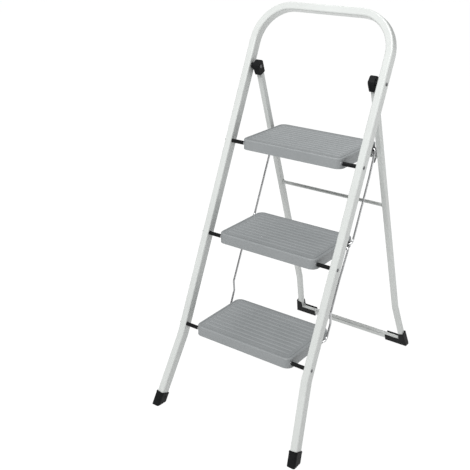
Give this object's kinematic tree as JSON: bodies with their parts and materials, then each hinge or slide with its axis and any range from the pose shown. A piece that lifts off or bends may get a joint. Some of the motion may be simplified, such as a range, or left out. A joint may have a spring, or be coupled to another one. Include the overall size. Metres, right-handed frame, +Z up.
{
  "type": "folding step ladder",
  "caption": "Folding step ladder: leaning bent-tube front frame with hand rail, hinged rear frame, and ribbed treads that fold up together on link wires.",
  "frame": {"origin": "on the floor, midway between the two sides and midway between the foremost and rearmost points", "axes": "+Z up, -Y is the front that is climbed, +X is the climber's right as they face the ladder"},
  "size_m": [0.4714, 0.7356, 1.0552],
  "materials": {
    "powder_coat": "white powder coat, fine orange peel",
    "grey_moulding": "mid grey moulded plastic, satin",
    "black_moulding": "black moulded plastic, fine texture",
    "zinc_steel": "bright zinc plated steel",
    "bare_steel": "plain steel",
    "hook_steel": "dark coated steel",
    "dark_steel": "black oxide steel",
    "bush_plastic": "dark grey moulded plastic"
  },
  "bodies": {
    "front": {"front_frame": "powder_coat", "front_foot_left": "black_moulding", "front_foot_right": "black_moulding", "step_rod_top": "dark_steel", "step_rod_middle": "dark_steel", "step_rod_bottom": "dark_steel", "rod_sleeves": "black_moulding", "hinge_pins": "dark_steel"},
    "rear": {"rear_frame": "powder_coat", "rear_crossbar": "powder_coat", "support_rod": "powder_coat", "hinge_inserts": "bare_steel", "hinge_cap_left": "black_moulding", "hinge_cap_right": "black_moulding", "rear_shoe_left": "black_moulding", "rear_shoe_right": "black_moulding", "shoe_rivets": "zinc_steel"},
    "top_tread": {"tread_top": "grey_moulding", "hinge_tube_top": "bare_steel", "stiffener_top": "bare_steel", "link_bushes_top": "bush_plastic", "hook_plates": "hook_steel", "hook_rivets": "zinc_steel"},
    "middle_tread": {"tread_middle": "grey_moulding", "hinge_tube_middle": "bare_steel", "stiffener_middle": "bare_steel", "link_bushes_middle_upper": "bush_plastic", "link_bushes_middle_lower": "bush_plastic"},
    "bottom_tread": {"tread_bottom": "grey_moulding", "hinge_tube_bottom": "bare_steel", "stiffener_bottom": "bare_steel", "link_bushes_bottom": "bush_plastic"},
    "upper_link_right": {"link_wire_upper_right": "zinc_steel"},
    "upper_link_left": {"link_wire_upper_left": "zinc_steel"},
    "lower_link_right": {"link_wire_lower_right": "zinc_steel"},
    "lower_link_left": {"link_wire_lower_left": "zinc_steel"}
  },
  "joints": [
    {"name": "rear_frame_fold", "type": "hinge", "parent": "front", "child": "rear", "pos_m": [0, 0.03607, 0.888], "axis": [-1, 0, 0], "range_deg": [0, 37.5]},
    {"name": "top_tread_fold", "type": "hinge", "parent": "front", "child": "top_tread", "pos_m": [0, -0.05386, 0.6977], "axis": [1, 0, 0], "range_deg": [0, 61.88]},
    {"name": "middle_tread_fold", "type": "hinge", "parent": "front", "child": "middle_tread", "pos_m": [0, -0.15721, 0.46], "axis": [1, 0, 0], "range_deg": [0, 61.88]},
    {"name": "bottom_tread_fold", "type": "hinge", "parent": "front", "child": "bottom_tread", "pos_m": [0, -0.26056, 0.2223], "axis": [1, 0, 0], "range_deg": [0, 61.88]},
    {"name": "upper_link_right_turn", "type": "hinge", "parent": "top_tread", "child": "upper_link_right", "pos_m": [0.1595, 0.10715, 0.6982], "axis": [-1, 0, 0], "range_deg": [0, 61.88]},
    {"name": "lower_link_right_turn", "type": "hinge", "parent": "middle_tread", "child": "lower_link_right", "pos_m": [0.1595, -0.00771, 0.454], "axis": [-1, 0, 0], "range_deg": [0, 61.88]},
    {"name": "upper_link_left_turn", "type": "hinge", "parent": "top_tread", "child": "upper_link_left", "pos_m": [-0.1595, 0.10715, 0.6982], "axis": [-1, 0, 0], "range_deg": [0, 61.88]},
    {"name": "lower_link_left_turn", "type": "hinge", "parent": "middle_tread", "child": "lower_link_left", "pos_m": [-0.1595, -0.00771, 0.454], "axis": [-1, 0, 0], "range_deg": [0, 61.88]}
  ],
  "couplings": [
    {"joint": "top_tread_fold", "follows": "rear_frame_fold", "ratio": 1.65},
    {"joint": "middle_tread_fold", "follows": "rear_frame_fold", "ratio": 1.65},
    {"joint": "bottom_tread_fold", "follows": "rear_frame_fold", "ratio": 1.65},
    {"joint": "upper_link_right_turn", "follows": "rear_frame_fold", "ratio": 1.65},
    {"joint": "lower_link_right_turn", "follows": "rear_frame_fold", "ratio": 1.65},
    {"joint": "upper_link_left_turn", "follows": "rear_frame_fold", "ratio": 1.65},
    {"joint": "lower_link_left_turn", "follows": "rear_frame_fold", "ratio": 1.65}
  ]
}
